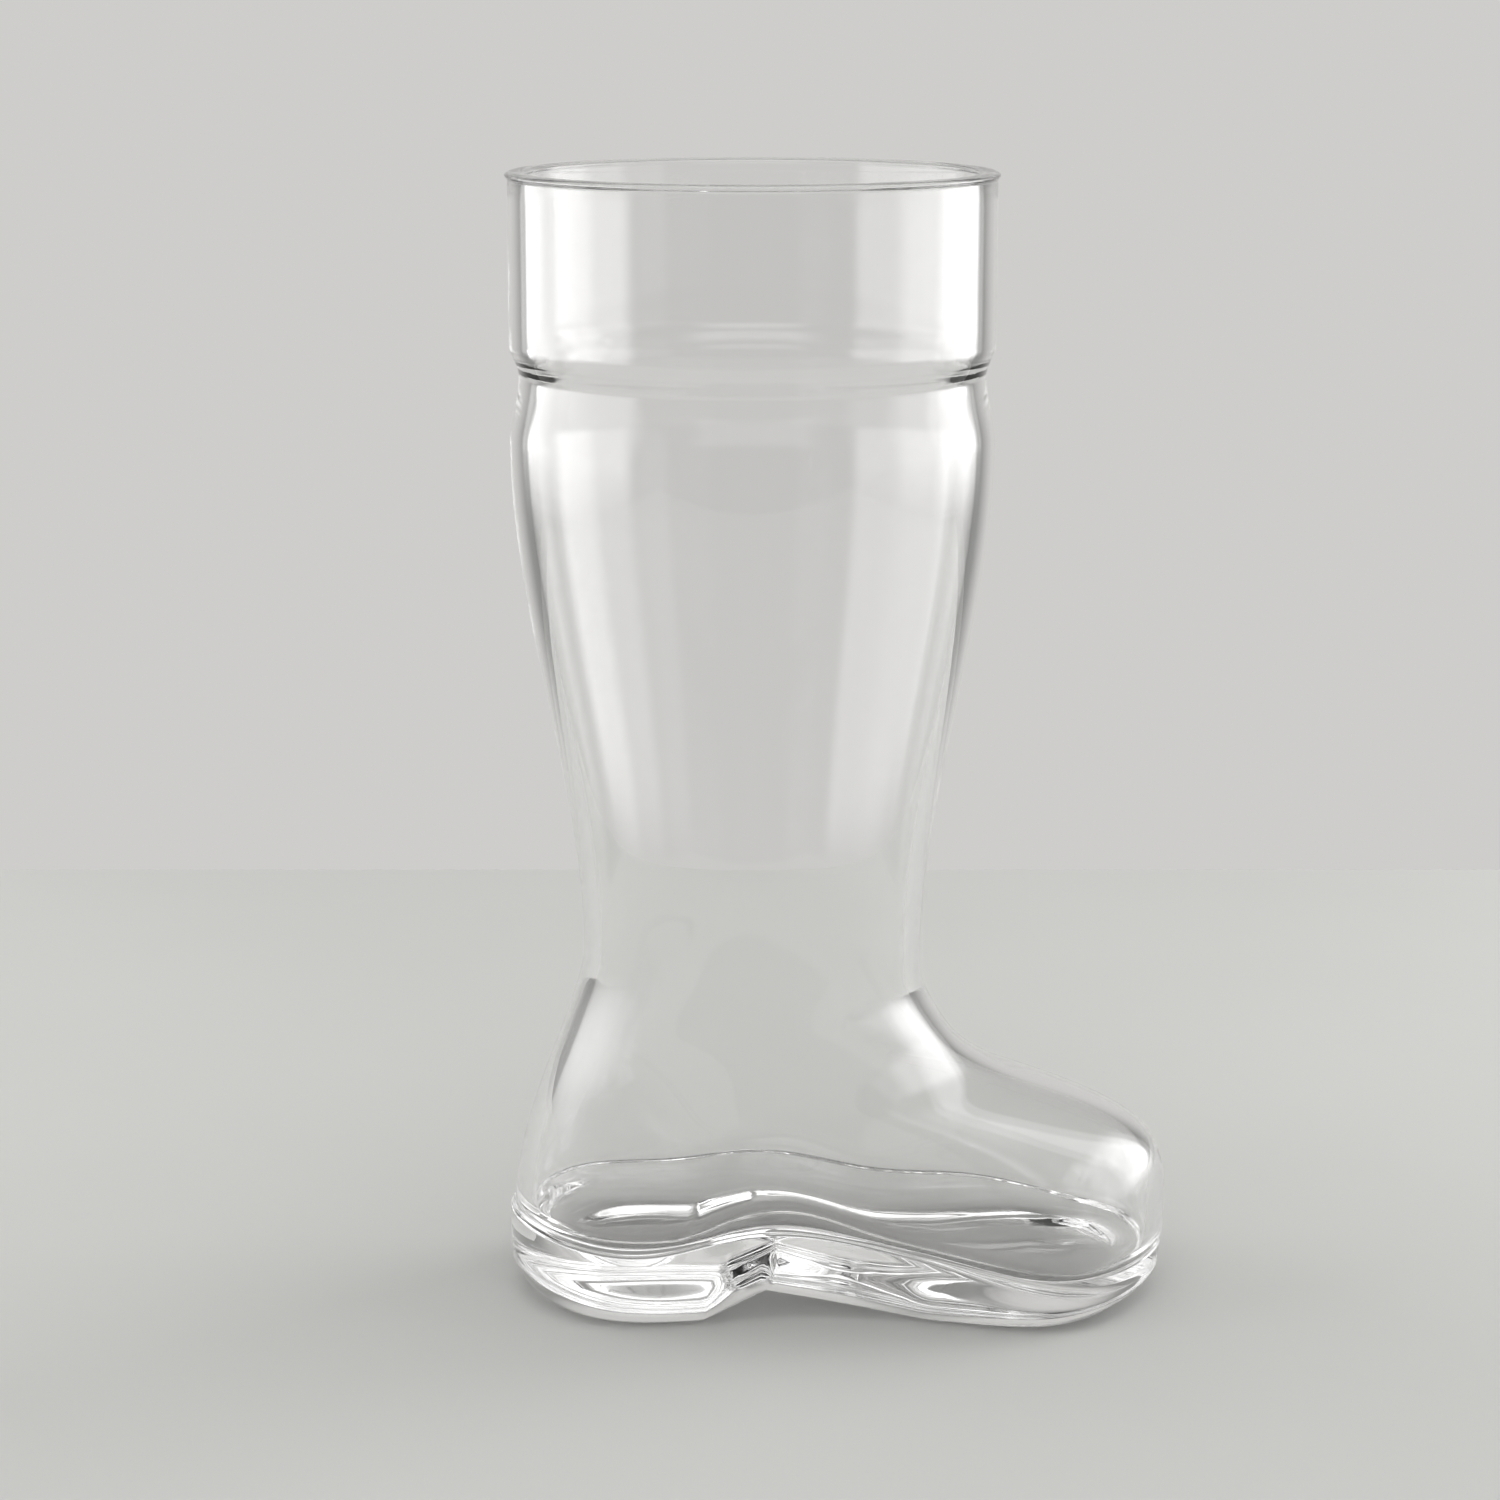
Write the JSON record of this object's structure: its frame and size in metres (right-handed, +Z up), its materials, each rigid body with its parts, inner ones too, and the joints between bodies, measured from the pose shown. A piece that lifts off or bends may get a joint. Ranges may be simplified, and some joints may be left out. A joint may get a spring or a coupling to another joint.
{
  "type": "beer boot glass",
  "caption": "Boot-shaped drinking glass: round mouth with a straight cuff, tapering leg, rounded foot and a thick solid sole hollowed under the arch.",
  "frame": {"origin": "on the table, at the middle of the outline box: half way between the back of the heel and the tip of the toe, on the mirror plane", "axes": "+X towards the toe, +Y to the boot's left as its wearer sees it, +Z up out of the mouth; the leg's axis stands at x = -15.35 mm"},
  "size_m": [0.1182, 0.0846, 0.2],
  "materials": {
    "glass": "clear, fire-polished soda-lime glass"
  },
  "bodies": {
    "root": {"rim": "glass", "cuff": "glass", "leg": "glass", "foot": "glass", "sole": "glass"}
  },
  "joints": []
}
